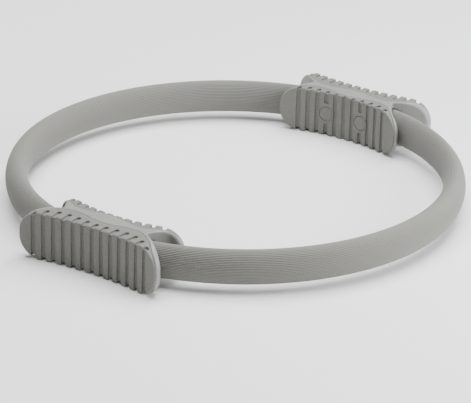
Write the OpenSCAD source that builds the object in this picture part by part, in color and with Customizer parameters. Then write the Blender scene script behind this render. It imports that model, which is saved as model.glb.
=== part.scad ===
// Pilates ring: a sprung hoop in two ribbed sleeves, clamped by a padded handle on either side.
// Millimetres. +Z up, +X through the right handle, -Y is the front side.
// The origin lies on the floor below the middle of the ring.

/* [Ring] */
// Outside diameter over the sleeves
ring_od = 370; // [330:1:420]
// Radial width of a sleeve
sleeve_w = 18.2; // [15:0.1:22]
// Height of a sleeve
sleeve_h = 28; // [24:0.5:32]
// Lengthwise ribs around one sleeve
sleeve_ribs = 56; // [24:1:72]
// Depth of the valleys between those ribs
sleeve_rib_depth = 0.5; // [0.2:0.05:0.9]
// Thickness of the spring strip
strip_t = 3; // [2:0.1:4]
// Height of the spring strip
strip_h = 20; // [14:0.5:22]
// Distance between the two strip ends inside a handle
strip_gap = 3; // [1:0.5:6]
// Space all round a strip, in its sleeve and in the handles
strip_clear = 0.3; // [0.1:0.05:0.6]
// Space all round a sleeve inside a handle
sleeve_clear = 0.35; // [0.2:0.05:0.8]
// Length of sleeve that reaches into a handle
sleeve_entry = 10; // [4:0.5:16]

/* [Handle] */
// Height of a handle
handle_h = 39.6; // [37:0.1:48]
// Radius of the D-shaped ends, seen from the side
end_r = 18; // [12:0.5:18.5]
// Length of the outer wing of a handle
outer_len = 132; // [126:1:140]
// Length of the inner wing of a handle
inner_len = 118; // [112:1:124]
// Outer face in front of the middle of the strip
outer_reach = 11.6; // [10.5:0.1:16]
// Inner face behind the middle of the strip
inner_reach = 18.2; // [16:0.1:20]
// Radius of the hollow outer face
palm_r = 280; // [220:5:400]
// Radius of the hollow inner face
inner_r = 150; // [130:1:170]
// Width of the plain band between the two pads, in the middle of a handle
band_w = 14.2; // [10:0.1:16]
// Inner edge of that band behind the middle of the strip
band_back = 14.9; // [13.5:0.1:15.2]
// How far each pad swells into the band on either side of the middle
swell = 4; // [0:0.1:5]
// Where it swells most, from the middle of a handle
swell_y = 27; // [22:0.5:30]
// Thickness of the wings, pads included
wing_t = 6; // [5:0.1:8]
// Half the distance between the two forks of a handle
fork_y = 39.5; // [37:0.5:43]
// Length over which the outer side of a fork opens
fork_out = 34; // [26:0.5:38]
// Length over which the inner side of a fork opens
fork_in = 12; // [8:0.5:16]

/* [Pads] */
// Pad thickness over the body of a handle
pad_t = 4.2; // [3.4:0.1:5]
// Pad thickness at the tips of the wings
wing_pad_t = 1.2; // [0.8:0.1:3]
// Pad thickness over the top and bottom of a handle
rim_t = 3; // [2.8:0.1:3.4]
// Step from the pads down to the edge of the shells
pad_inset = 0.25; // [0.1:0.05:0.4]
// Width of shell that shows round the ends of the pads
lip_w = 1.2; // [0.5:0.1:3]
// Rounding of the pads' long edges
pad_edge = 1.2; // [0.6:0.1:3]
// Distance from groove to groove on the outer pad
outer_pitch = 8.85; // [7.5:0.05:9]
// Distance from groove to groove on the inner pad
inner_pitch = 8.55; // [7.5:0.05:9]
// Width of a groove
groove_w = 3.8; // [2:0.1:4.5]
// Depth of a groove
groove_depth = 1.8; // [1:0.1:2.2]
// Share of a pad's top and bottom that the grooves run over
groove_reach = 0.62; // [0.4:0.01:0.8]
// Grooves on each side of the middle one of the outer pad
outer_grooves = 6; // [3:1:6]
// Grooves on each side of the middle one of the inner pad
inner_grooves = 5; // [3:1:5]
// Groove that each plug interrupts, counted from the middle
plug_groove = 2; // [1:1:3]

/* [Fasteners] */
// Diameter of the plugs over the screws
plug_d = 12.4; // [11:0.1:14]
// Space round a plug
plug_clear = 0.15; // [0.05:0.05:0.4]
// Width of the raised ring round a plug
plug_ring_w = 1; // [0.6:0.1:1.6]
// Height of that ring over the pad
plug_ring_h = 0.4; // [0.2:0.05:0.7]
// Depth of a plug's face below that ring
plug_sink = 0.5; // [0.2:0.05:1]
// Thread diameter of the screws
screw_d = 4; // [3:0.5:4]
// Head diameter of the screws
head_d = 8; // [6:0.1:8.4]
// Head height of the screws
head_h = 2.6; // [2:0.1:3]
// Diameter of the washers
washer_d = 9; // [7.5:0.1:9.2]
// Thickness of the washers
washer_t = 0.8; // [0.5:0.1:1.2]
// Width across the flats of the nuts
nut_af = 7; // [5.5:0.1:7.5]
// Thickness of the nuts
nut_t = 3.2; // [2.4:0.1:3.6]
// Radial space round the shank of a screw
hole_clear = 0.3; // [0.1:0.05:0.5]
// Radial space round heads, washers and nuts
head_clear = 0.35; // [0.2:0.05:0.6]
// Shell wall between the washer and the strip
inner_wall = 5.2; // [4:0.1:6]
// Shell wall between the strip and the nut
outer_wall = 3.7; // [3:0.1:4]

/* [Hidden] */
$fa = 2;
$fs = 0.5;
// Steps of a full turn about the upright axes
ring_steps = 360;
PAD_GREY = [0.47, 0.47, 0.44];
SLEEVE_GREY = [0.53, 0.53, 0.5];
SHELL_GREY = [0.75, 0.75, 0.75];
STRIP_BLACK = [0.12, 0.12, 0.13];
STEEL = [0.7, 0.71, 0.73];
eps = 0.01;
far = 60;
// Overshoot of a cut past the face that it goes through
over = 1;
// Points along a curved side of the shells, and round half a sleeve's section
side_steps = 10;
oval_steps = 180;
ring_r = (ring_od - sleeve_w) / 2;
mid_z = handle_h / 2;
// The middle of the outer and the inner face, and the upright axes that they are turned about
palm_x = ring_r + outer_reach;
inner_x = ring_r - inner_reach;
palm_axis = palm_x + palm_r;
inner_axis = inner_x - inner_r;
band_in = ring_r - band_back;
band_out = band_in + band_w;
// The shells part just outside the band, under the edge of the outer pad
parting_lap = 0.3;
parting_x = band_out + parting_lap;
pad_h = handle_h - 2 * pad_inset;
core_h = handle_h - 2 * rim_t;
// The fork's tip lies on the ring's centre line
fork_x = sqrt(pow(ring_r, 2) - pow(fork_y, 2));
sleeve_from = asin((fork_y - sleeve_entry) / ring_r);
strip_from = asin(strip_gap / 2 / ring_r);
// Where the borders start to turn into the wings, before the fork, and how far they take
outer_bend_y = fork_y - 9.5;
inner_bend_y = fork_y - 11.5;
outer_bend = 36;
inner_bend = 31;
// How far the shells' cores reach past the fork's tip, round the sleeve
outer_core_past = 12.5;
inner_core_past = 6.5;
// Degrees that the faces, the strip room and the sleeve room are turned through
face_sweep = 60;
strip_sweep = 80;
sleeve_sweep = 30;
// Places along a screw, measured from the axis of the inner face
screw_a = plug_groove * turn(inner_pitch, inner_r);
strip_at = sqrt(pow(ring_r, 2) - pow(inner_axis * sin(screw_a), 2)) - inner_axis * cos(screw_a);
washer_seat = strip_at - strip_t / 2 - inner_wall;
head_seat = washer_seat - washer_t;
nut_seat = strip_at + strip_t / 2 + outer_wall;
// The screws end just inside their nuts
screw_short = 0.4;
screw_end = nut_seat + nut_t - screw_short;
recess_l = 0.6 * head_d;
recess_w = 0.14 * head_d;
recess_h = 0.55 * head_h;
// A plug's face and back, and the spigot that centres it in the screw's recess
plug_face = inner_r - plug_ring_h + plug_sink;
plug_back = inner_r + pad_t - plug_clear;
spigot_d = washer_d;
spigot_l = 1.6;
thread_clear = 0.1;
plug_hole_d = plug_d + 2 * plug_clear;
plug_ring_d = plug_hole_d + 2 * plug_ring_w;
groove_gap = 1.4;
// Rounding where a groove's floor turns over a pad's long edge
groove_edge = 0.5;
peg_d = 3;
peg_l = 3;
peg_clear = 0.1;
peg_z = strip_h / 2 + strip_clear + (core_h / 2 - strip_h / 2) / 2;
pocket_w = 22;
pocket_h = 3.6;
pocket_wall = 3;

// Degrees that a length takes on a circle
function turn(length, radius) = length / radius * 180 / PI;
function smooth(u) = let (v = min(max(u, 0), 1)) v * v * (3 - 2 * v);
function open_up(u) = sin(90 * min(max(u, 0), 1));
function steps(from, to, count) = [for (i = [0:count]) from + (to - from) * i / count];
function flipped(points) = [for (i = [len(points) - 1:-1:0]) points[i]];
// X of a surface that lies t behind the outer or the inner face, at the distance y from the middle
function behind_palm(y, t) = palm_axis - sqrt(pow(palm_r + t, 2) - y * y);
function behind_inner(y, t) = inner_axis + sqrt(pow(inner_r + t, 2) - y * y);
// X of the pads' borders with the band
function swell_at(y) = swell * pow(sin(90 * min(abs(y) / swell_y, 1)), 2);
function outer_border(y) =
    let (x = band_out - swell_at(y))
    x + (behind_palm(y, wing_pad_t) - x) * smooth((abs(y) - outer_bend_y) / outer_bend);
function inner_border(y) =
    let (x = band_in + swell_at(y))
    x + (behind_inner(y, wing_pad_t) - x) * smooth((abs(y) - inner_bend_y) / inner_bend);
// X of the two sides of a fork
function fork_outside(y) = fork_x + (behind_palm(y, wing_t) - fork_x) * open_up((y - fork_y) / fork_out);
function fork_inside(y) = fork_x + (behind_inner(y, wing_t) - fork_x) * open_up((y - fork_y) / fork_in);
// Height above the middle of an outline with D-shaped ends
function outline_top(y, length, height, radius) =
    let (past = max(abs(y) - length / 2 + radius, 0))
    height / 2 - radius + sqrt(max(radius * radius - past * past, 0));

// Points round an oval at even distances, each second one pressed in by the rib depth
function oval_point(a, w, h) = [w / 2 * cos(a), h / 2 * sin(a)];
function oval_lengths(w, h, n) =
    [for (i = 0, s = 0; i <= n;
          s = s + norm(oval_point(360 * (i + 1) / n, w, h) - oval_point(360 * i / n, w, h)), i = i + 1)
        [s, 360 * i / n]];
function ribbed_oval(w, h, ribs, depth) =
    let (table = oval_lengths(w, h, oval_steps), total = table[oval_steps][0])
    [for (i = [0:2 * ribs - 1])
        let (a = lookup(total * i / (2 * ribs), table), d = i % 2 == 0 ? 0 : 2 * depth)
        oval_point(a, w - d, h - d)];

module at_side(side) {
    translate([0, 0, mid_z]) rotate([0, 0, side > 0 ? 0 : 180]) children();
}
// Turns about the axis of the outer face, so that local +X points through the face to the ring
module from_palm(a) {
    translate([palm_axis, 0, 0]) rotate([0, 0, 180 + a]) children();
}
module from_inner(a) {
    translate([inner_axis, 0, 0]) rotate([0, 0, a]) children();
}
// Puts local +Z along a screw, pointing outwards, with its zero at the axis of the inner face
module along_screw(side) {
    from_inner(side * screw_a) rotate([0, 90, 0]) children();
}

// Outline with D-shaped ends, upright across the X axis
module end_outline(length, height, radius) {
    rotate([90, 0, 90]) linear_extrude(ring_od) union() {
        square([length - 2 * radius, height], center = true);
        square([length, height - 2 * radius], center = true);
        for (sy = [-1, 1], sz = [-1, 1])
            translate([sy * (length / 2 - radius), sz * (height / 2 - radius)]) circle(radius);
    }
}
// Section of a pad with its two front edges rounded, its front at local X = 0
module pad_section(height, edge, depth) {
    translate([edge, -height / 2]) square([depth - edge, height]);
    translate([0, edge - height / 2]) square([edge + eps, height - 2 * edge]);
    for (sz = [-1, 1]) translate([edge, sz * (height / 2 - edge)]) circle(edge);
}
module turned_pad(radius, height, outwards) {
    rotate([0, 0, -face_sweep / 2]) rotate_extrude(angle = face_sweep, $fn = ring_steps)
        translate([radius, 0]) pad_section(height, pad_edge, outwards);
}

// Plan of the shells: between the borders, with the forks open
module shell_plan() {
    half = concat(
        [for (y = steps(0, inner_len / 2 + over, 2 * side_steps)) [inner_border(y), y]],
        flipped([for (y = steps(fork_y, inner_len / 2 + over, side_steps)) [fork_inside(y), y]]),
        [for (y = steps(fork_y, outer_len / 2 + over, side_steps)) if (y > fork_y) [fork_outside(y), y]],
        flipped([for (y = steps(0, outer_len / 2 + over, 2 * side_steps)) [outer_border(y), y]])
    );
    for (m = [0, 1]) mirror([0, m]) polygon(half);
}
module outer_pad_plan() {
    end_y = outer_len / 2 + over;
    border = [for (y = steps(-end_y, end_y, 4 * side_steps)) [outer_border(y), y]];
    polygon(concat(border, [[palm_x + far, end_y], [palm_x + far, -end_y]]));
}
module inner_pad_plan() {
    end_y = inner_len / 2 + over;
    border = [for (y = steps(-end_y, end_y, 4 * side_steps)) [inner_border(y), y]];
    polygon(concat(border, [[inner_x - far, end_y], [inner_x - far, -end_y]]));
}
// Plan of the open space between the two wings at either end
module fork_plan() {
    ys = steps(fork_y, outer_len / 2 + over, side_steps);
    inside = [for (y = ys) if (y > fork_y) [fork_inside(y), y]];
    for (m = [0, 1]) mirror([0, m]) polygon(concat([for (y = ys) [fork_outside(y), y]], flipped(inside)));
}
// The part of the shells that stands inside the pads, behind a skin of pad
module core_block(from_x, end_y, length) {
    difference() {
        intersection() {
            translate([from_x, -end_y, -core_h / 2]) cube([far, 2 * end_y, core_h]);
            end_outline(length - 2 * rim_t, core_h, end_r - rim_t);
            children();
        }
        translate([0, 0, -handle_h]) linear_extrude(2 * handle_h) fork_plan();
    }
}
module outer_core() {
    core_block(parting_x, fork_y + outer_core_past, outer_len)
        from_palm(0) turned_pad(palm_r + pad_t, core_h, far);
}
module inner_core() {
    core_block(parting_x - far, fork_y + inner_core_past, inner_len)
        from_inner(0) turned_pad(inner_r + pad_t, core_h, far);
}

// Room for the strips and the sleeve ends, cut through both shells
module hoop_room() {
    strip_w = strip_t + 2 * strip_clear;
    strip_room_h = strip_h + 2 * strip_clear;
    oval = ribbed_oval(sleeve_w + 2 * sleeve_clear, sleeve_h + 2 * sleeve_clear, sleeve_ribs, 0);
    rotate([0, 0, -strip_sweep / 2]) rotate_extrude(angle = strip_sweep, $fn = ring_steps)
        translate([ring_r, 0]) square([strip_w, strip_room_h], center = true);
    for (m = [0, 1]) mirror([0, m]) rotate([0, 0, sleeve_from - turn(sleeve_clear, ring_r)])
        rotate_extrude(angle = sleeve_sweep, $fn = ring_steps) translate([ring_r, 0]) polygon(oval);
}
module screw_room() {
    for (side = [-1, 1]) along_screw(side) {
        cylinder(d = screw_d + 2 * hole_clear, h = nut_seat + far);
        cylinder(d = washer_d + 2 * head_clear, h = washer_seat);
        cylinder(d = plug_hole_d, h = plug_back + plug_clear);
        translate([0, 0, nut_seat])
            cylinder(d = (nut_af + 2 * head_clear) / cos(30), h = far, $fn = 6);
    }
}
// Cored pockets that open on the parting face between the two shells
module pockets(from_x, to_x) {
    for (sy = [-1, 1], sz = [-1, 1])
        translate([from_x, sy * (pocket_w / 2 + pocket_wall) - pocket_w / 2, sz * peg_z - pocket_h / 2])
            cube([to_x - from_x, pocket_w, pocket_h]);
}
module pegs(gap) {
    for (sz = [-1, 1]) translate([parting_x - over, 0, sz * peg_z])
        rotate([0, 90, 0]) cylinder(d = peg_d + 2 * gap, h = over + peg_l + gap);
}

// The full-height part of a shell, which lies from from_x outwards
module shell_block(from_x, length) {
    intersection() {
        translate([0, 0, -handle_h / 2]) linear_extrude(handle_h) shell_plan();
        end_outline(length, handle_h, end_r);
        translate([from_x, -outer_len, -handle_h]) cube([far, 2 * outer_len, 2 * handle_h]);
    }
}
module outer_shell() {
    color(SHELL_GREY) difference() {
        union() {
            shell_block(parting_x, outer_len);
            outer_core();
        }
        hoop_room();
        screw_room();
        pockets(parting_x - over, palm_x - pad_t - pocket_wall);
        pegs(peg_clear);
    }
}
module inner_shell() {
    color(SHELL_GREY) {
        difference() {
            union() {
                shell_block(parting_x - far, inner_len);
                inner_core();
            }
            hoop_room();
            screw_room();
            pockets(inner_x + pad_t + pocket_wall, parting_x + over);
        }
        pegs(0);
    }
}

// Cuts one groove across a pad's front, over both long edges and back to a round end
module groove(front, top, hook) {
    rotate([90, 0, 0]) linear_extrude(groove_w, center = true) difference() {
        translate([front - over, -top - over]) square([hook + over, 2 * (top + over)]);
        translate([front + groove_depth, 0])
            pad_section(2 * (top - groove_depth), groove_edge, far);
    }
    for (sz = [0, 1]) mirror([0, 0, sz])
        translate([front + hook, 0, top - groove_depth]) cylinder(d = groove_w, h = groove_depth + over);
}
module outer_groove(index) {
    a = index * turn(outer_pitch, palm_r);
    y = palm_r * sin(a);
    top = outline_top(y, outer_len - 2 * lip_w, pad_h, end_r);
    room = behind_palm(y, 0) - outer_border(y);
    hook = room * groove_reach - groove_w / 2;
    from_palm(a) groove(palm_r, top, hook);
}
module inner_groove(index) {
    a = index * turn(inner_pitch, inner_r);
    y = inner_r * sin(a);
    top = outline_top(y, inner_len - 2 * lip_w, pad_h, end_r);
    room = inner_border(y) - behind_inner(y, 0);
    hook = room * groove_reach - groove_w / 2;
    island = plug_ring_d / 2 + groove_gap + groove_w / 2;
    from_inner(a) difference() {
        groove(inner_r, top, hook);
        if (abs(index) == plug_groove) {
            translate([inner_r, 0, 0]) cube([far, far, 2 * island], center = true);
        }
    }
    if (abs(index) == plug_groove) {
        for (sz = [-1, 1]) from_inner(a) translate([inner_r - over, 0, sz * island])
            rotate([0, 90, 0]) cylinder(d = groove_w, h = over + groove_depth);
    }
}
module outer_pad() {
    color(PAD_GREY) difference() {
        intersection() {
            translate([0, 0, -pad_h / 2]) linear_extrude(pad_h) outer_pad_plan();
            end_outline(outer_len - 2 * lip_w, pad_h, end_r);
            from_palm(0) turned_pad(palm_r, pad_h, far);
        }
        outer_core();
        inner_core();
        for (i = [-outer_grooves:outer_grooves]) outer_groove(i);
    }
}
module inner_pad() {
    color(PAD_GREY) difference() {
        union() {
            difference() {
                intersection() {
                    translate([0, 0, -pad_h / 2]) linear_extrude(pad_h) inner_pad_plan();
                    end_outline(inner_len - 2 * lip_w, pad_h, end_r);
                    from_inner(0) turned_pad(inner_r, pad_h, far);
                }
                inner_core();
                for (i = [-inner_grooves:inner_grooves]) inner_groove(i);
            }
            for (side = [-1, 1]) along_screw(side)
                translate([0, 0, inner_r - plug_ring_h]) cylinder(d = plug_ring_d, h = pad_t / 2);
        }
        for (side = [-1, 1]) along_screw(side) cylinder(d = plug_hole_d, h = inner_r + pad_t + over);
    }
}

// One plug, its face turned to the middle of the ring
module plug(side) {
    color(PAD_GREY) along_screw(side) {
        translate([0, 0, plug_face]) cylinder(d = plug_d, h = plug_back - plug_face);
        translate([0, 0, plug_back - over]) cylinder(d = spigot_d, h = over + spigot_l);
    }
}
module screws() {
    color(STEEL) for (side = [-1, 1]) along_screw(side) difference() {
        union() {
            translate([0, 0, head_seat - head_h]) cylinder(d = head_d, h = head_h);
            translate([0, 0, head_seat - over]) cylinder(d = screw_d, h = screw_end - head_seat + over);
        }
        for (a = [0, 90]) rotate([0, 0, a])
            translate([-recess_l / 2, -recess_w / 2, head_seat - head_h - over])
                cube([recess_l, recess_w, over + recess_h]);
    }
}
module ring_of(outside, hole, height) {
    difference() {
        cylinder(d = outside, h = height);
        translate([0, 0, -over]) cylinder(d = hole, h = height + 2 * over);
    }
}
module washers() {
    color(STEEL) for (side = [-1, 1]) along_screw(side)
        translate([0, 0, head_seat]) ring_of(washer_d, screw_d + hole_clear, washer_t);
}
module nuts() {
    color(STEEL) for (side = [-1, 1]) along_screw(side) translate([0, 0, nut_seat]) difference() {
        cylinder(d = nut_af / cos(30), h = nut_t, $fn = 6);
        translate([0, 0, -over]) cylinder(d = screw_d + thread_clear, h = nut_t + 2 * over);
    }
}

// Half of the sleeve, on the rear (+Y) side
module sleeve() {
    color(SLEEVE_GREY) translate([0, 0, mid_z])
        rotate([0, 0, sleeve_from]) rotate_extrude(angle = 180 - 2 * sleeve_from, $fn = ring_steps)
            translate([ring_r, 0]) difference() {
                polygon(ribbed_oval(sleeve_w, sleeve_h, sleeve_ribs, sleeve_rib_depth));
                square([strip_t + 2 * strip_clear, strip_h + 2 * strip_clear], center = true);
            }
}
// Half of the spring hoop, on the rear (+Y) side, with a screw hole near each end
module strip() {
    color(STRIP_BLACK) translate([0, 0, mid_z]) difference() {
        rotate([0, 0, strip_from]) rotate_extrude(angle = 180 - 2 * strip_from, $fn = ring_steps)
            translate([ring_r, 0]) square([strip_t, strip_h], center = true);
        for (m = [0, 1]) mirror([m, 0, 0]) along_screw(1)
            cylinder(d = screw_d + 2 * hole_clear, h = ring_r + far);
    }
}

module left_outer_shell() { at_side(-1) outer_shell(); }
module left_inner_shell() { at_side(-1) inner_shell(); }
module left_outer_pad() { at_side(-1) outer_pad(); }
module left_inner_pad() { at_side(-1) inner_pad(); }
module left_front_plug() { at_side(-1) plug(1); }
module left_rear_plug() { at_side(-1) plug(-1); }
module left_screws() { at_side(-1) screws(); }
module left_washers() { at_side(-1) washers(); }
module left_nuts() { at_side(-1) nuts(); }
module right_outer_shell() { at_side(1) outer_shell(); }
module right_inner_shell() { at_side(1) inner_shell(); }
module right_outer_pad() { at_side(1) outer_pad(); }
module right_inner_pad() { at_side(1) inner_pad(); }
module right_front_plug() { at_side(1) plug(-1); }
module right_rear_plug() { at_side(1) plug(1); }
module right_screws() { at_side(1) screws(); }
module right_washers() { at_side(1) washers(); }
module right_nuts() { at_side(1) nuts(); }
module front_sleeve() { rotate([0, 0, 180]) sleeve(); }
module rear_sleeve() { sleeve(); }
module front_strip() { rotate([0, 0, 180]) strip(); }
module rear_strip() { strip(); }

left_outer_shell();
left_inner_shell();
left_outer_pad();
left_inner_pad();
left_front_plug();
left_rear_plug();
left_screws();
left_washers();
left_nuts();
right_outer_shell();
right_inner_shell();
right_outer_pad();
right_inner_pad();
right_front_plug();
right_rear_plug();
right_screws();
right_washers();
right_nuts();
front_sleeve();
rear_sleeve();
front_strip();
rear_strip();
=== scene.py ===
"""The looks of the pilates ring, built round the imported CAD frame.

Sizes are in millimetres and turned to metres where a mesh is made. The frame's +X runs through the
right handle, -Y is the front side and +Z is up. A handle is built once, in its own coordinates: x
outwards from the middle of the ring, y along the handle, z from mid height. The left one is the
right one turned by half a turn.
"""
import math

import bpy
import numpy as np
from mathutils import Matrix, Vector


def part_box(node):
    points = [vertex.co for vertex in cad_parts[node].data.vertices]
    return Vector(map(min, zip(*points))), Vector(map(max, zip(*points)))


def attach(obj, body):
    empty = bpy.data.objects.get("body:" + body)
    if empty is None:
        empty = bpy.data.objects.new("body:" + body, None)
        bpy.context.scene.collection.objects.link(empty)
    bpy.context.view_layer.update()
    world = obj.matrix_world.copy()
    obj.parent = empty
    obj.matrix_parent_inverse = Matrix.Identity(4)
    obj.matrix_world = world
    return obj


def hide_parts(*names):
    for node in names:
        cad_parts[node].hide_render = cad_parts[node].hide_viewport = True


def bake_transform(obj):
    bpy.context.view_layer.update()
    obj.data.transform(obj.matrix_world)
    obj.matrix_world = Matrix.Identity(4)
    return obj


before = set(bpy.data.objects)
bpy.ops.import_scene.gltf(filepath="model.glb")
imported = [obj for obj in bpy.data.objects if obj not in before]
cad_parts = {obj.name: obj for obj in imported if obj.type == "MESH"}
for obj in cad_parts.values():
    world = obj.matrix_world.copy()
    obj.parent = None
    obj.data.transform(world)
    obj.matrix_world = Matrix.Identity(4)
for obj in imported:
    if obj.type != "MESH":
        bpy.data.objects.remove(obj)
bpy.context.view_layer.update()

MM = 0.001
SIDES = {"right": 1, "left": -1}

# Sizes that the frame gives
sleeve_low, sleeve_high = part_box("rear_sleeve")
shell_low, shell_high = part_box("right_inner_shell")
RING_OD = 2 * sleeve_high.y / MM
SLEEVE_H = (sleeve_high.z - sleeve_low.z) / MM
HANDLE_H = (shell_high.z - shell_low.z) / MM
MID_Z = HANDLE_H / 2
OUTER_LEN = 2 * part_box("right_outer_shell")[1].y / MM
INNER_LEN = 2 * shell_high.y / MM

# Hoop
SLEEVE_W = 18.2
SLEEVE_RIBS = 56
RIB_DEPTH = 0.5
# Depth of the points across one rib and its valley, as a share of the whole depth
# The same shares set how much shade is painted into each point, the most in the valley
RIB_DIPS = [0.0, 0.3, 1.0, 0.3]
STRIP_T, STRIP_H, STRIP_GAP, STRIP_CORNER = 3.0, 20.0, 3.0, 0.7
SLEEVE_ENTRY, SLEEVE_CLEAR, SLEEVE_END_CLEAR, STRIP_CLEAR = 10.0, 0.35, 0.3, 0.3
RING_R = (RING_OD - SLEEVE_W) / 2
# Steps along a quarter of the hoop, and how close, in degrees, the next ring is to either end
HOOP_STEPS, END_RING = 42, 0.03

# Handle
END_R = 18.0
PALM_R, INNER_R = 280.0, 150.0
OUTER_REACH, INNER_REACH = 11.6, 18.2
PALM_X = RING_R + OUTER_REACH
INNER_X = RING_R - INNER_REACH
PALM_AXIS = PALM_X + PALM_R
INNER_AXIS = INNER_X - INNER_R
# About how far the ends of the two faces stand out past their middles, for the grid
OUTER_BOW, INNER_BOW = 8, 12
BAND_W, BAND_BACK = 14.2, 14.9
BAND_IN = RING_R - BAND_BACK
BAND_OUT = BAND_IN + BAND_W
SWELL, SWELL_Y = 4.0, 27.0
# The two shells meet a little outside the band, each a hair short of the parting
PARTING_LAP, PARTING_CLEAR = 0.3, 0.02
PARTING_X = BAND_OUT + PARTING_LAP
WING_T, WING_PAD_T = 6.0, 1.2
FORK_Y, FORK_OUT, FORK_IN = 39.5, 34.0, 12.0
FORK_X = math.sqrt(RING_R ** 2 - FORK_Y ** 2)
# Where the border of each pad turns towards the wing, and over what length
OUTER_BEND_Y, OUTER_BEND = FORK_Y - 9.5, 36.0
INNER_BEND_Y, INNER_BEND = FORK_Y - 11.5, 31.0
# How far past the fork the core of each shell runs on inside its pad, and its gap to the pad
OUTER_CORE_PAST, INNER_CORE_PAST, CORE_CLEAR = 12.5, 6.5, 0.05
# Rounded edges: of the band and the wings, and the least of the fork's rim
BAND_EDGE, WING_EDGE, RIM_EDGE = 0.4, 2.0, 0.8
# Rounded edges of the fork's tip, of the tunnel's mouth and of the parting
FORK_TIP_EDGE, TUNNEL_EDGE, PARTING_EDGE = 1.5, 0.6, 0.15
# The band's edge grows to the wing's from this far past the fork, over this length
EDGE_PAST, EDGE_LENGTH = 4, 10

# Pads; the back edge also goes round the plug holes
PAD_INSET, LIP_W = 0.25, 1.2
PAD_H = HANDLE_H - 2 * PAD_INSET
PAD_EDGE, PAD_BACK_EDGE, PAD_T, RIM_T = 1.2, 0.3, 4.2, 3.0
OUTER_PITCH, INNER_PITCH = 8.85, 8.55
GROOVE_W, GROOVE_DEPTH, GROOVE_REACH, GROOVE_GAP = 3.8, 1.8, 0.62, 1.4
GROOVE_END, GROOVE_FLOOR_EDGE, RIDGE_EDGE = GROOVE_W / 2 - 0.1, 0.3, 0.35
OUTER_GROOVES, INNER_GROOVES, PLUG_GROOVE = 6, 5, 2
PLUG_D, PLUG_HOLE_D, PLUG_RING_W, PLUG_RING_H, PLUG_SINK = 12.4, 12.7, 1.0, 0.4, 0.5
PLUG_RING_D = PLUG_HOLE_D + 2 * PLUG_RING_W
# The dish in a plug, and how deep a plug and its ring are meshed
PLUG_DISH, PLUG_DEEP, RING_DEEP = 0.15, 3.8, 2.4
SCREW_ANGLE = PLUG_GROOVE * INNER_PITCH / INNER_R

# Fasteners, as places along a screw from the axis of the inner face
SCREW_D, WASHER_D, NUT_AF, HOLE_CLEAR, HEAD_CLEAR = 4.0, 9.0, 7.0, 0.3, 0.35
INNER_WALL, OUTER_WALL = 5.2, 3.7
AXIS_OFF = INNER_AXIS * math.sin(SCREW_ANGLE)
STRIP_AT = math.sqrt(RING_R ** 2 - AXIS_OFF ** 2) - INNER_AXIS * math.cos(SCREW_ANGLE)
WASHER_SEAT = STRIP_AT - STRIP_T / 2 - INNER_WALL
NUT_SEAT = STRIP_AT + STRIP_T / 2 + OUTER_WALL

# Grid that the handle's pieces are meshed on, and its room beyond a piece
GRID, GRID_ROOM = 0.5, 1.5


# Fields: each gives the distance from a surface in millimetres, negative inside

def round_and(a, b, radius):
    """What is inside both fields, with the edge between them rounded."""
    u, v = np.maximum(a + radius, 0), np.maximum(b + radius, 0)
    return np.minimum(-radius, np.maximum(a, b)) + np.hypot(u, v)


def smooth(u):
    """Runs from 0 to 1 with level ends while u does."""
    u = np.clip(u, 0, 1)
    return u * u * (3 - 2 * u)


def behind_palm(y, depth):
    """X of the surface at a depth behind the outer face."""
    return PALM_AXIS - np.sqrt((PALM_R + depth) ** 2 - y * y)


def behind_inner(y, depth):
    """X of the surface at a depth behind the inner face."""
    return INNER_AXIS + np.sqrt((INNER_R + depth) ** 2 - y * y)


def swell_at(y):
    """How far each edge of the band lies inside its place at y = 0, where the band is widest."""
    return SWELL * np.sin(math.pi / 2 * np.minimum(np.abs(y) / SWELL_Y, 1)) ** 2


def outer_border(y):
    """X where the outer pad meets its shell."""
    x = BAND_OUT - swell_at(y)
    return x + (behind_palm(y, WING_PAD_T) - x) * smooth((np.abs(y) - OUTER_BEND_Y) / OUTER_BEND)


def inner_border(y):
    """X where the inner pad meets its shell."""
    x = BAND_IN + swell_at(y)
    return x + (behind_inner(y, WING_PAD_T) - x) * smooth((np.abs(y) - INNER_BEND_Y) / INNER_BEND)


def fork_side(y, wing, length):
    """X of one side of a fork; before the fork's tip the two sides have crossed."""
    share = np.clip((np.abs(y) - FORK_Y) / length, -0.5, 1)
    return FORK_X + (wing - FORK_X) * np.sin(math.pi / 2 * share)


def fork_outside(y):
    return fork_side(y, behind_palm(y, WING_T), FORK_OUT)


def fork_inside(y):
    return fork_side(y, behind_inner(y, WING_T), FORK_IN)


def steepness(border, y):
    """Turns a distance along X from a border into the distance square to it."""
    slope = (border(y + 0.1) - border(y - 0.1)) / 0.2
    return 1 / np.sqrt(1 + slope * slope)


def end_outline(y, z, length, height):
    """The outline of a handle's wing, seen along X: a plate with D-shaped ends."""
    u = np.abs(y) - length / 2 + END_R
    v = np.abs(z) - height / 2 + END_R
    return np.hypot(np.maximum(u, 0), np.maximum(v, 0)) + np.minimum(np.maximum(u, v), 0) - END_R


def cut_grooves(body, along, depth, pitch, count, reach, islands):
    """Cuts the grooves, which run over both long edges and end round, as deep as reach says."""
    index = np.clip(np.round(along / pitch), -count, count)
    side = np.abs(along - index * pitch) - GROOVE_W / 2
    channel = round_and(side, depth - reach(index * pitch), GROOVE_END)
    if islands is not None:
        broken = round_and(channel, islands, GROOVE_END)
        channel = np.where(np.abs(index) == PLUG_GROOVE, broken, channel)
    groove = round_and(channel, -(body + GROOVE_DEPTH), GROOVE_FLOOR_EDGE)
    return round_and(body, -groove, RIDGE_EDGE)


# The shade that is painted into the pads' grooves, from none at the face to the most at a floor
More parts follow.
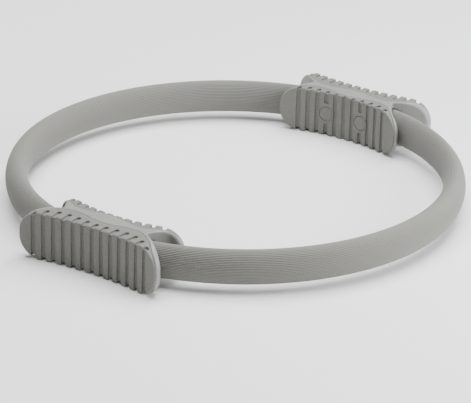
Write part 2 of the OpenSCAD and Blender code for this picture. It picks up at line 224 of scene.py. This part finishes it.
def groove_shade_amount(along, depth, z, pitch, count, islands):
    """How far down in a groove a point of a pad lies: 0 at the face, 1 at the groove's floor."""
    index = np.clip(np.round(along / pitch), -count, count)
    inside = smooth((GROOVE_W / 2 + 0.3 - np.abs(along - index * pitch)) / 0.6)
    if islands:
        broken = (np.abs(index) == PLUG_GROOVE) & (np.abs(z) < PLUG_RING_D / 2 + GROOVE_GAP)
        inside = np.where(broken, 0, inside)
    return inside * smooth((depth - 0.2) / (GROOVE_DEPTH - 0.2))


# Painted shade at each point of the outer and the inner pad
def outer_groove_shade(x, y, z):
    depth = np.hypot(x - PALM_AXIS, y) - PALM_R
    along = PALM_R * np.arctan2(y, PALM_AXIS - x)
    return groove_shade_amount(along, -depth, z, OUTER_PITCH, OUTER_GROOVES, False)


def inner_groove_shade(x, y, z):
    depth = np.hypot(x - INNER_AXIS, y) - INNER_R
    along = INNER_R * np.arctan2(y, x - INNER_AXIS)
    return groove_shade_amount(along, -depth, z, INNER_PITCH, INNER_GROOVES, True)


def core_field(depth, y, z, past):
    """The part of the shells inside a pad, behind a skin of pad."""
    sides = np.maximum(np.abs(y) - FORK_Y - past, np.abs(z) - HANDLE_H / 2 + RIM_T)
    return np.maximum(PAD_T - depth, sides)


def outer_core_field(x, y, z):
    return core_field(np.hypot(x - PALM_AXIS, y) - PALM_R, y, z, OUTER_CORE_PAST)


def inner_core_field(x, y, z):
    return core_field(np.hypot(x - INNER_AXIS, y) - INNER_R, y, z, INNER_CORE_PAST)


def outer_pad_field(x, y, z):
    depth = np.hypot(x - PALM_AXIS, y) - PALM_R
    body = round_and(-depth, end_outline(y, z, OUTER_LEN - 2 * LIP_W, PAD_H), PAD_EDGE)
    along = PALM_R * np.arctan2(y, PALM_AXIS - x)

    def reach(way):
        across = PALM_R * np.sin(way / PALM_R)
        return GROOVE_REACH * (behind_palm(across, 0) - outer_border(across))

    body = cut_grooves(body, along, depth, OUTER_PITCH, OUTER_GROOVES, reach, None)
    back = (outer_border(y) - x) * steepness(outer_border, y)
    return np.maximum(round_and(body, back, PAD_BACK_EDGE), -outer_core_field(x, y, z))


def inner_pad_field(x, y, z):
    depth = np.hypot(x - INNER_AXIS, y) - INNER_R
    body = round_and(-depth, end_outline(y, z, INNER_LEN - 2 * LIP_W, PAD_H), PAD_EDGE)
    along = INNER_R * np.arctan2(y, x - INNER_AXIS)

    def reach(way):
        across = INNER_R * np.sin(way / INNER_R)
        return GROOVE_REACH * (inner_border(across) - behind_inner(across, 0))

    islands = PLUG_RING_D / 2 + GROOVE_GAP - np.abs(z)
    body = cut_grooves(body, along, depth, INNER_PITCH, INNER_GROOVES, reach, islands)
    across = np.abs(y) * math.cos(SCREW_ANGLE) - (x - INNER_AXIS) * math.sin(SCREW_ANGLE)
    body = round_and(body, PLUG_HOLE_D / 2 - np.hypot(across, z), PAD_BACK_EDGE)
    back = (x - inner_border(y)) * steepness(inner_border, y)
    return np.maximum(round_and(body, back, PAD_BACK_EDGE), -inner_core_field(x, y, z))


def fork_field(x, y):
    """The open space between the wings at either end of a handle, seen from above."""
    outer = (x - fork_outside(y)) * steepness(fork_outside, y)
    inner = (fork_inside(y) - x) * steepness(fork_inside, y)
    return round_and(outer, inner, FORK_TIP_EDGE)


def tunnel_field(x, y, z):
    """The room for the end of a sleeve."""
    u = (np.hypot(x, y) - RING_R) / (SLEEVE_W / 2 + SLEEVE_CLEAR)
    v = z / (SLEEVE_H / 2 + SLEEVE_CLEAR)
    oval = np.hypot(u, v)
    slope = np.hypot(u / (SLEEVE_W / 2), v / (SLEEVE_H / 2)) / np.maximum(oval, 1e-6)
    around = (oval - 1) / np.maximum(slope, 1e-3)
    return np.maximum(around, FORK_Y - SLEEVE_ENTRY - SLEEVE_END_CLEAR - np.abs(y))


def strip_room_field(x, y, z):
    """The slot through the shells for the ends of the strips."""
    across = np.abs(np.hypot(x, y) - RING_R) - STRIP_T / 2
    return np.maximum(across, np.abs(z) - STRIP_H / 2) - STRIP_CLEAR


def screw_room_field(x, y, z):
    """The hole for a screw, wider for its plug and washer and six-sided for its nut."""
    out = (x - INNER_AXIS) * math.cos(SCREW_ANGLE) + np.abs(y) * math.sin(SCREW_ANGLE)
    across = np.abs(y) * math.cos(SCREW_ANGLE) - (x - INNER_AXIS) * math.sin(SCREW_ANGLE)
    off = np.hypot(across, z)
    six = np.maximum(np.abs(across), np.abs(across) * 0.5 + np.abs(z) * math.sqrt(0.75))
    rooms = [
        off - SCREW_D / 2 - HOLE_CLEAR,
        np.maximum(off - WASHER_D / 2 - HEAD_CLEAR, out - WASHER_SEAT),
        np.maximum(off - PLUG_HOLE_D / 2, out - INNER_R - PAD_T),
        np.maximum(six - NUT_AF / 2 - HEAD_CLEAR, NUT_SEAT - out),
    ]
    return np.minimum.reduce(rooms)


def shell_field(x, y, z, core):
    """Both shells as one, with the core that fills out one of the pads."""
    borders = np.maximum(
        (x - outer_border(y)) * steepness(outer_border, y),
        (inner_border(y) - x) * steepness(inner_border, y),
    )
    length = np.where(x > FORK_X, OUTER_LEN, INNER_LEN)
    grown = smooth((np.abs(y) - FORK_Y - EDGE_PAST) / EDGE_LENGTH)
    edge = BAND_EDGE + (WING_EDGE - BAND_EDGE) * grown
    body = round_and(borders, end_outline(y, z, length, HANDLE_H), edge)
    body = np.minimum(body, core(x, y, z) + CORE_CLEAR)
    body = round_and(body, -fork_field(x, y), np.maximum(edge, RIM_EDGE))
    body = round_and(body, -tunnel_field(x, y, z), TUNNEL_EDGE)
    return np.maximum(body, -np.minimum(strip_room_field(x, y, z), screw_room_field(x, y, z)))


def outer_shell_field(x, y, z):
    whole = shell_field(x, y, z, outer_core_field)
    return round_and(whole, PARTING_X + PARTING_CLEAR - x, PARTING_EDGE)


def inner_shell_field(x, y, z):
    whole = shell_field(x, y, z, inner_core_field)
    return round_and(whole, x - PARTING_X + PARTING_CLEAR, PARTING_EDGE)


# Meshing of a field

def surface_net(values):
    """Points, in grid steps, and four-sided faces on the zero surface of a grid of values."""
    cells = tuple(n - 1 for n in values.shape)
    count = np.zeros(cells, np.int32)
    total = np.zeros(cells + (3,))
    place = np.indices(cells)
    crossings = []
    for axis in range(3):
        one, two = (axis + 1) % 3, (axis + 2) % 3
        a = np.moveaxis(values, (axis, one, two), (0, 1, 2))
        low, high = a[:-1], a[1:]
        crossed = (low < 0) != (high < 0)
        share = np.where(crossed, low / np.where(crossed, low - high, 1), 0)
        crossings.append((crossed, low < 0))
        for o1 in (0, 1):
            for o2 in (0, 1):
                window = (slice(None), slice(o1, cells[one] + o1), slice(o2, cells[two] + o2))
                hit = np.moveaxis(crossed[window], (0, 1, 2), (axis, one, two))
                t = np.moveaxis(share[window], (0, 1, 2), (axis, one, two))
                count += hit
                total[..., axis] += hit * (place[axis] + t)
                total[..., one] += hit * (place[one] + o1)
                total[..., two] += hit * (place[two] + o2)
    active = count > 0
    number = np.full(cells, -1)
    number[active] = np.arange(active.sum())
    points = total[active] / count[active][:, None]
    faces = []
    for axis, (crossed, low_inside) in enumerate(crossings):
        one, two = (axis + 1) % 3, (axis + 2) % 3
        ids = np.moveaxis(number, (axis, one, two), (0, 1, 2))
        i, j, k = np.nonzero(crossed[:, 1:-1, 1:-1])
        ring = [ids[i, j, k], ids[i, j + 1, k], ids[i, j + 1, k + 1], ids[i, j, k + 1]]
        quads = np.stack(ring, axis=1)
        flip = ~low_inside[:, 1:-1, 1:-1][i, j, k]
        quads[flip] = quads[flip][:, ::-1]
        faces.append(quads)
    return points, np.concatenate(faces)


def field_gradient(field, p):
    """The slope of a field at each point, by small steps either way."""
    step = 0.02
    parts = []
    for axis in range(3):
        shift = np.zeros(3)
        shift[axis] = step
        ahead, back = (p + shift).T, (p - shift).T
        parts.append((field(*ahead) - field(*back)) / (2 * step))
    return np.stack(parts, axis=1)


def mesh_of_field(field, x_range, half_y, half_z):
    """Points in mm and faces of a field that is the same on both sides of y = 0 and z = 0."""
    xs = np.arange(x_range[0], x_range[1], GRID)
    ys = (np.arange(int(half_y / GRID)) + 0.5) * GRID
    zs = (np.arange(int(half_z / GRID)) + 0.5) * GRID
    quarter = field(*np.meshgrid(xs, ys, zs, indexing="ij"))
    half = np.concatenate([quarter[:, ::-1], quarter], axis=1)
    whole = np.concatenate([half[:, :, ::-1], half], axis=2)
    points, faces = surface_net(whole)
    points = points * GRID + np.array([xs[0], -ys[-1], -zs[-1]])
    # Draws the points onto the surface itself, in steps that are short against the grid
    for _ in range(3):
        slope = field_gradient(field, points)
        size = np.maximum((slope ** 2).sum(axis=1), 0.05)
        move = field(*points.T)[:, None] * slope / size[:, None]
        points = points - np.clip(move, -0.4 * GRID, 0.4 * GRID)
    return points, faces


def add_mesh(name, points, faces, flat_faces=0):
    """A new object from points in metres and faces of one size; the last flat_faces are flat."""
    mesh = bpy.data.meshes.new(name)
    mesh.from_pydata([tuple(p) for p in points], [], [tuple(f) for f in faces])
    mesh.validate()
    mesh.update()
    smooth_flags = np.ones(len(mesh.polygons), bool)
    if flat_faces:
        smooth_flags[-flat_faces:] = False
        rims = {key for face in mesh.polygons[-flat_faces:] for key in face.edge_keys}
        for edge in mesh.edges:
            edge.use_edge_sharp = edge.key in rims
    mesh.polygons.foreach_set("use_smooth", smooth_flags)
    piece = bpy.data.objects.new(name, mesh)
    bpy.context.scene.collection.objects.link(piece)
    return piece


def to_frame(points, side):
    """From a handle's own millimetres to the frame's metres."""
    turned = points * np.array([side, side, 1.0])
    return (turned + np.array([0, 0, MID_Z])) * MM


# Materials

def new_material(name, colour, roughness):
    """A material with its nodes, its links and its shader."""
    material = bpy.data.materials.new(name)
    material.use_nodes = True
    nodes, links = material.node_tree.nodes, material.node_tree.links
    shader = nodes["Principled BSDF"]
    shader.inputs["Base Color"].default_value = (*colour, 1)
    shader.inputs["Roughness"].default_value = roughness
    return material, nodes, links, shader


def noise(nodes, links, coords, scale, detail=2.0, stretch=None):
    """A noise texture on the piece's own coordinates, in cycles per metre."""
    texture = nodes.new("ShaderNodeTexNoise")
    texture.inputs["Scale"].default_value = scale
    texture.inputs["Detail"].default_value = detail
    if stretch:
        mapping = nodes.new("ShaderNodeMapping")
        mapping.inputs["Scale"].default_value = stretch
        links.new(coords.outputs["Object"], mapping.inputs["Vector"])
        links.new(mapping.outputs["Vector"], texture.inputs["Vector"])
    else:
        links.new(coords.outputs["Object"], texture.inputs["Vector"])
    return texture


def tint(nodes, links, shader, factor, dark, light):
    """Mixes the base colour between two tones."""
    ramp = nodes.new("ShaderNodeValToRGB")
    ramp.color_ramp.elements[0].position = 0.35
    ramp.color_ramp.elements[1].position = 0.65
    ramp.color_ramp.elements[0].color = (*dark, 1)
    ramp.color_ramp.elements[1].color = (*light, 1)
    links.new(factor, ramp.inputs["Fac"])
    links.new(ramp.outputs["Color"], shader.inputs["Base Color"])


def vary_roughness(nodes, links, shader, factor, low, high):
    spread = nodes.new("ShaderNodeMapRange")
    spread.inputs["To Min"].default_value = low
    spread.inputs["To Max"].default_value = high
    links.new(factor, spread.inputs["Value"])
    links.new(spread.outputs["Result"], shader.inputs["Roughness"])


def bump(nodes, links, shader, height, distance, strength=1.0):
    node = nodes.new("ShaderNodeBump")
    node.inputs["Distance"].default_value = distance
    node.inputs["Strength"].default_value = strength
    links.new(height, node.inputs["Height"])
    links.new(node.outputs["Normal"], shader.inputs["Normal"])


def paint_groove_shade(nodes, links, shader, shade):
    """Painted shade: multiplies the base colour down towards the floor of each groove."""
    depth = nodes.new("ShaderNodeAttribute")
    depth.attribute_name = "groove"
    level = nodes.new("ShaderNodeMapRange")
    level.inputs["To Min"].default_value = 1.0
    level.inputs["To Max"].default_value = 1.0 - shade
    links.new(depth.outputs["Fac"], level.inputs["Value"])
    scale = nodes.new("ShaderNodeVectorMath")
    scale.operation = "SCALE"
    links.new(shader.inputs["Base Color"].links[0].from_socket, scale.inputs["Vector"])
    links.new(level.outputs["Result"], scale.inputs["Scale"])
    links.new(scale.outputs["Vector"], shader.inputs["Base Color"])


def rubber(name, colour, speckle, grain_depth, groove_shade=0.0):
    """Matt moulded rubber: a fine grain, a speckled tone and a faint bloom."""
    material, nodes, links, shader = new_material(name, colour, 0.7)
    coords = nodes.new("ShaderNodeTexCoord")
    grain = noise(nodes, links, coords, 2600, 3)
    specks = noise(nodes, links, coords, 700, 3)
    dark = [c * (1 - speckle) for c in colour]
    light = [c * (1 + speckle) for c in colour]
    tint(nodes, links, shader, specks.outputs["Fac"], dark, light)
    # Paints shade into the floors of the grooves or rib valleys
    if groove_shade:
        paint_groove_shade(nodes, links, shader, groove_shade)
    vary_roughness(nodes, links, shader, grain.outputs["Fac"], 0.6, 0.82)
    bump(nodes, links, shader, grain.outputs["Fac"], grain_depth)
    shader.inputs["Specular IOR Level"].default_value = 0.35
    shader.inputs["Sheen Weight"].default_value = 0.08
    shader.inputs["Sheen Roughness"].default_value = 0.5
    return material


def satin_plastic(name, colour):
    """Moulded shell plastic with a very fine spark-eroded texture."""
    material, nodes, links, shader = new_material(name, colour, 0.42)
    coords = nodes.new("ShaderNodeTexCoord")
    grain = noise(nodes, links, coords, 3500, 2)
    cloud = noise(nodes, links, coords, 35, 2)
    dark = [c * 0.97 for c in colour]
    light = [c * 1.03 for c in colour]
    tint(nodes, links, shader, cloud.outputs["Fac"], dark, light)
    vary_roughness(nodes, links, shader, grain.outputs["Fac"], 0.36, 0.5)
    bump(nodes, links, shader, grain.outputs["Fac"], 0.00005)
    return material


def composite(name):
    """Dark pultruded glass-fibre strip with a lengthwise grain."""
    colour = (0.02, 0.02, 0.021)
    material, nodes, links, shader = new_material(name, colour, 0.35)
    coords = nodes.new("ShaderNodeTexCoord")
    fibres = noise(nodes, links, coords, 900, 3, stretch=(0.3, 0.3, 6))
    dark = [c * 0.8 for c in colour]
    light = [c * 1.6 for c in colour]
    tint(nodes, links, shader, fibres.outputs["Fac"], dark, light)
    bump(nodes, links, shader, fibres.outputs["Fac"], 0.00006)
    return material


def steel(name):
    """Zinc-plated steel with fine scuffs."""
    colour = (0.55, 0.55, 0.56)
    material, nodes, links, shader = new_material(name, colour, 0.35)
    coords = nodes.new("ShaderNodeTexCoord")
    scuffs = noise(nodes, links, coords, 1500, 4)
    shader.inputs["Metallic"].default_value = 1
    vary_roughness(nodes, links, shader, scuffs.outputs["Fac"], 0.25, 0.45)
    bump(nodes, links, shader, scuffs.outputs["Fac"], 0.00003)
    return material


# groove_shade is how much shade is painted into the pads' grooves and the sleeve's rib valleys
PAD_RUBBER = rubber("pad_rubber", (0.145, 0.145, 0.131), 0.08, 0.0001, groove_shade=0.65)
SLEEVE_RUBBER = rubber("sleeve_rubber", (0.197, 0.197, 0.179), 0.03, 0.00004, groove_shade=0.45)
SHELL_PLASTIC = satin_plastic("shell_plastic", (0.22, 0.22, 0.214))
STRIP_COMPOSITE = composite("strip_composite")
STEEL = steel("zinc_steel")


def set_groove_shade(piece, depths):
    """Stores how deep in a groove each point lies, from 0 to 1, for painted shade."""
    groove = piece.data.attributes.new("groove", "FLOAT", "POINT")
    groove.data.foreach_set("value", depths)


def finish_piece(piece, material, slot, *nodes):
    """Gives a piece its material and hides the frame's nodes it stands for; slot is not used."""
    piece.data.materials.clear()
    piece.data.materials.append(material)
    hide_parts(*nodes)


# Pieces

def make_handle_piece(kind, field, x_range, half_y, material, slot, tone=None):
    """A piece of both handles; a tone makes it a pad and paints shade into its grooves."""
    points, faces = mesh_of_field(field, x_range, half_y + GRID_ROOM, MID_Z + GRID_ROOM)
    for side_name, side in SIDES.items():
        piece = add_mesh(f"{side_name}_{kind}_look", to_frame(points, side), faces)
        if tone:
            set_groove_shade(piece, tone(*points.T))
        finish_piece(piece, material, slot, f"{side_name}_{kind}")
        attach(piece, f"{side_name}_handle")


def lathe(profile, steps=48):
    """Points and faces of a profile of (radius, height) turned about Z."""
    turns = np.arange(steps) * 2 * math.pi / steps
    points = [(r * math.cos(a), r * math.sin(a), h) for r, h in profile for a in turns]
    faces = []
    for i in range(len(profile) - 1):
        for j in range(steps):
            k = (j + 1) % steps
            faces.append((i * steps + j, i * steps + k, (i + 1) * steps + k, (i + 1) * steps + j))
    return np.array(points), faces


def on_screw_axis(points, way):
    """From a screw's own axis, with +Z outwards, to the handle's coordinates."""
    a = way * SCREW_ANGLE
    outwards = np.array([math.cos(a), math.sin(a), 0])
    across = np.array([-math.sin(a), math.cos(a), 0])
    up = np.array([0, 0, 1.0])
    origin = np.array([INNER_AXIS, 0, 0])
    return origin + points[:, :1] * across + points[:, 1:2] * up + points[:, 2:] * outwards


def turned_piece(name, profile, side, way):
    """A lathed piece on the axis of a screw."""
    points, faces = lathe(profile)
    return add_mesh(name, to_frame(on_screw_axis(points, way), side), faces)


def make_plug(side_name, side, end_name, way):
    """A plug with a slightly dished face, and the raised ring round it."""
    face, r, middle = INNER_R - PLUG_RING_H + PLUG_SINK, PLUG_D / 2, 0.01
    profile = [
        (middle, face + PLUG_DISH), (r * 0.55, face + 0.12), (r - 1.0, face + 0.02),
        (r - 0.45, face), (r - 0.12, face + 0.1), (r, face + 0.45),
        (r, face + PLUG_DEEP), (middle, face + PLUG_DEEP),
    ]
    piece = turned_piece(f"{side_name}_{end_name}_plug_look", profile, side, way)
    finish_piece(piece, PAD_RUBBER, "plug_rubber", f"{side_name}_{end_name}_plug")
    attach(piece, f"{side_name}_handle")
    low, high, top = PLUG_HOLE_D / 2 + 0.05, PLUG_RING_D / 2, INNER_R - PLUG_RING_H
    bead = [
        (low, top + RING_DEEP), (low, top + 0.35), (low + 0.12, top + 0.1), (low + 0.35, top),
        (high - 0.35, top), (high - 0.12, top + 0.1), (high, top + 0.35),
        (high, top + RING_DEEP), (low, top + RING_DEEP),
    ]
    ring = turned_piece(f"{side_name}_{end_name}_plug_ring", bead, side, way)
    ring.data.materials.append(PAD_RUBBER)
    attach(ring, f"{side_name}_handle")


def ribbed_section():
    """Points round the sleeve's oval section, with a crest and a narrow valley for each rib."""
    a = np.linspace(0, 2 * math.pi, 1441)
    oval = np.stack([SLEEVE_W / 2 * np.cos(a), SLEEVE_H / 2 * np.sin(a)], axis=1)
    lengths = np.concatenate([[0], np.cumsum(np.hypot(*np.diff(oval, axis=0).T))])
    n = SLEEVE_RIBS * len(RIB_DIPS)
    at = np.interp(np.arange(n) * lengths[-1] / n, lengths, a)
    dip = np.tile(RIB_DIPS, SLEEVE_RIBS) * RIB_DEPTH
    normal = np.stack([SLEEVE_H / 2 * np.cos(at), SLEEVE_W / 2 * np.sin(at)], axis=1)
    normal /= np.linalg.norm(normal, axis=1)[:, None]
    points = np.stack([SLEEVE_W / 2 * np.cos(at), SLEEVE_H / 2 * np.sin(at)], axis=1)
    return points - normal * dip[:, None]


def strip_section():
    """The spring strip's section with rounded corners."""
    r, points = STRIP_CORNER, []
    for cx, cz, first in ((1, -1, -90), (1, 1, 0), (-1, 1, 90), (-1, -1, 180)):
        for a in (0, 30, 60, 90):
            angle = math.radians(first + a)
            x = cx * (STRIP_T / 2 - r) + r * math.cos(angle)
            z = cz * (STRIP_H / 2 - r) + r * math.sin(angle)
            points.append((x, z))
    return np.array(points)


def arc_sweep(section, start, end, steps):
    """Sweeps a section round the ring's axis, from start to end in degrees, with flat ends."""
    n = len(section)
    points = []
    # A ring close to either end keeps the shading even where two quarters meet
    between = np.linspace(start + END_RING, end - END_RING, steps - 1)
    angles = np.concatenate([[start], between, [end]])
    for angle in np.radians(angles):
        r = RING_R + section[:, 0]
        points.append(np.stack([r * math.cos(angle), r * math.sin(angle), section[:, 1]], axis=1))
    faces = []
    for i in range(steps):
        for j in range(n):
            k = (j + 1) % n
            faces.append((i * n + j, i * n + k, (i + 1) * n + k, (i + 1) * n + j))
    faces.append(tuple(range(n))[::-1])
    faces.append(tuple(range(steps * n, steps * n + n)))
    return np.concatenate(points), faces


# The angles, in degrees from a handle's middle, where the sleeves and the strips begin
SLEEVE_FROM = math.degrees(math.asin((FORK_Y - SLEEVE_ENTRY) / RING_R))
STRIP_FROM = math.degrees(math.asin(STRIP_GAP / 2 / RING_R))


def make_quarter(kind, end_name, side_name, section, first, material, slot, dips=None):
    """A quarter of the hoop, from one handle's fork to the middle of a side.

    The frame has one body that carries that middle for each handle, because a joint joins it to
    that handle.
    """
    way = 1 if end_name == "rear" else -1
    side = SIDES[side_name]
    points, faces = arc_sweep(section, first, 90, HOOP_STEPS)
    points = points * np.array([side, way, 1.0])
    mirrored = side * way < 0
    if mirrored:
        faces = [f[::-1] for f in faces]
    points = (points + np.array([0, 0, MID_Z])) * MM
    piece = add_mesh(f"{end_name}_{kind}_{side_name}", points, faces, flat_faces=2)
    # Paints shade into the valleys between the ribs, by the same shares as their depth
    if dips:
        set_groove_shade(piece, np.tile(dips, len(points) // len(dips)))
    finish_piece(piece, material, slot, f"{end_name}_{kind}")
    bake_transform(piece)
    return piece


def make_hoop():
    ribs, strip = ribbed_section(), strip_section()
    for end_name in ("front", "rear"):
        for side_name in SIDES:
            sleeve = make_quarter("sleeve", end_name, side_name, ribs, SLEEVE_FROM,
                                  SLEEVE_RUBBER, "sleeve_foam", RIB_DIPS)
            make_quarter("strip", end_name, side_name, strip, STRIP_FROM,
                         STRIP_COMPOSITE, "spring_composite")


def make_handles():
    inmost, outmost = INNER_X - INNER_BOW - GRID_ROOM, PALM_X + OUTER_BOW + GRID_ROOM
    outer_back, inner_back = BAND_OUT - SWELL - GRID_ROOM, BAND_IN + SWELL + GRID_ROOM
    make_handle_piece("outer_pad", outer_pad_field, (outer_back, outmost), OUTER_LEN / 2,
                      PAD_RUBBER, "pad_rubber", outer_groove_shade)
    make_handle_piece("inner_pad", inner_pad_field, (inmost, inner_back), INNER_LEN / 2,
                      PAD_RUBBER, "pad_rubber", inner_groove_shade)
    make_handle_piece("outer_shell", outer_shell_field, (PARTING_X - GRID_ROOM, outmost),
                      OUTER_LEN / 2, SHELL_PLASTIC, "shell_plastic")
    make_handle_piece("inner_shell", inner_shell_field, (inmost, PARTING_X + GRID_ROOM),
                      INNER_LEN / 2, SHELL_PLASTIC, "shell_plastic")
    for side_name, side in SIDES.items():
        for end_name, way in (("rear", side), ("front", -side)):
            make_plug(side_name, side, end_name, way)
        # The fasteners are shown as the CAD has them
        for kind in ("screws", "washers", "nuts"):
            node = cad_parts[f"{side_name}_{kind}"]
            node.data.materials.clear()
            node.data.materials.append(STEEL)


# Stage, light and camera

# The photograph's view: its azimuth and elevation in degrees, and its distance and aim in mm
VIEW_AZIMUTH, VIEW_ELEVATION, VIEW_ROLL = -55.18, 22.91, 1.4
VIEW_DISTANCE = 2174.0
VIEW_AIM = (0.4, 0.0, -23.3)
# Focal length in pixels of the photograph, and the photograph's width
FOCAL_PX, PHOTO_W = 2699.0, 471


def from_view(right, away, up):
    """A vector given as the camera sees the floor, turned into the frame's directions."""
    c, s = math.cos(math.radians(VIEW_AZIMUTH)), math.sin(math.radians(VIEW_AZIMUTH))
    return Vector((right * c - away * s, right * s + away * c, up))


def make_camera():
    data = bpy.data.cameras.new("camera")
    camera = bpy.data.objects.new("camera", data)
    bpy.context.scene.collection.objects.link(camera)
    data.sensor_width = 36
    data.lens = FOCAL_PX * data.sensor_width / PHOTO_W
    data.clip_start, data.clip_end = 0.05, 50
    e = math.radians(VIEW_ELEVATION)
    centre = Vector((0, 0, MID_Z * MM))
    back_off = from_view(0, -VIEW_DISTANCE * math.cos(e), VIEW_DISTANCE * math.sin(e))
    camera.location = centre + back_off * MM
    aim = centre + from_view(*VIEW_AIM) * MM
    look = (aim - camera.location).to_track_quat("-Z", "Y").to_matrix()
    turn = look @ Matrix.Rotation(math.radians(VIEW_ROLL), 3, "Z")
    camera.rotation_euler = turn.to_euler()
    bpy.context.scene.camera = camera


def area_light(name, place, size, power):
    """A round lamp, aimed at the middle of the ring."""
    data = bpy.data.lights.new(name, "AREA")
    data.shape = "DISK"
    data.size = size
    data.energy = power
    light = bpy.data.objects.new(name, data)
    bpy.context.scene.collection.objects.link(light)
    light.location = place
    light.rotation_euler = (Vector((0, 0, 0.02)) - place).to_track_quat("-Z", "Y").to_euler()


def make_light():
    area_light("key", from_view(0.85, -0.2, 0.32), 0.55, 12)
    area_light("fill", from_view(-0.2, -1.2, 0.9), 0.6, 2.6)
    area_light("back", from_view(0.9, 1.3, 2.0), 1.0, 26)
    area_light("top", from_view(0, 0.15, 1.6), 1.6, 61)
    world = bpy.data.worlds.new("studio")
    bpy.context.scene.world = world
    world.use_nodes = True
    background = world.node_tree.nodes["Background"]
    background.inputs["Color"].default_value = (1, 1, 1, 1)
    background.inputs["Strength"].default_value = 0.17


def make_floor():
    half = 6.0
    corners = [(-half, -half, 0), (half, -half, 0), (half, half, 0), (-half, half, 0)]
    floor = add_mesh("floor", corners, [(0, 1, 2, 3)])
    floor.location.z = -0.0001
    material, _, _, shader = new_material("floor_white", (0.88, 0.88, 0.88), 0.6)
    shader.inputs["Specular IOR Level"].default_value = 0.2
    floor.data.materials.append(material)


make_camera()
make_light()
make_floor()
make_hoop()
make_handles()
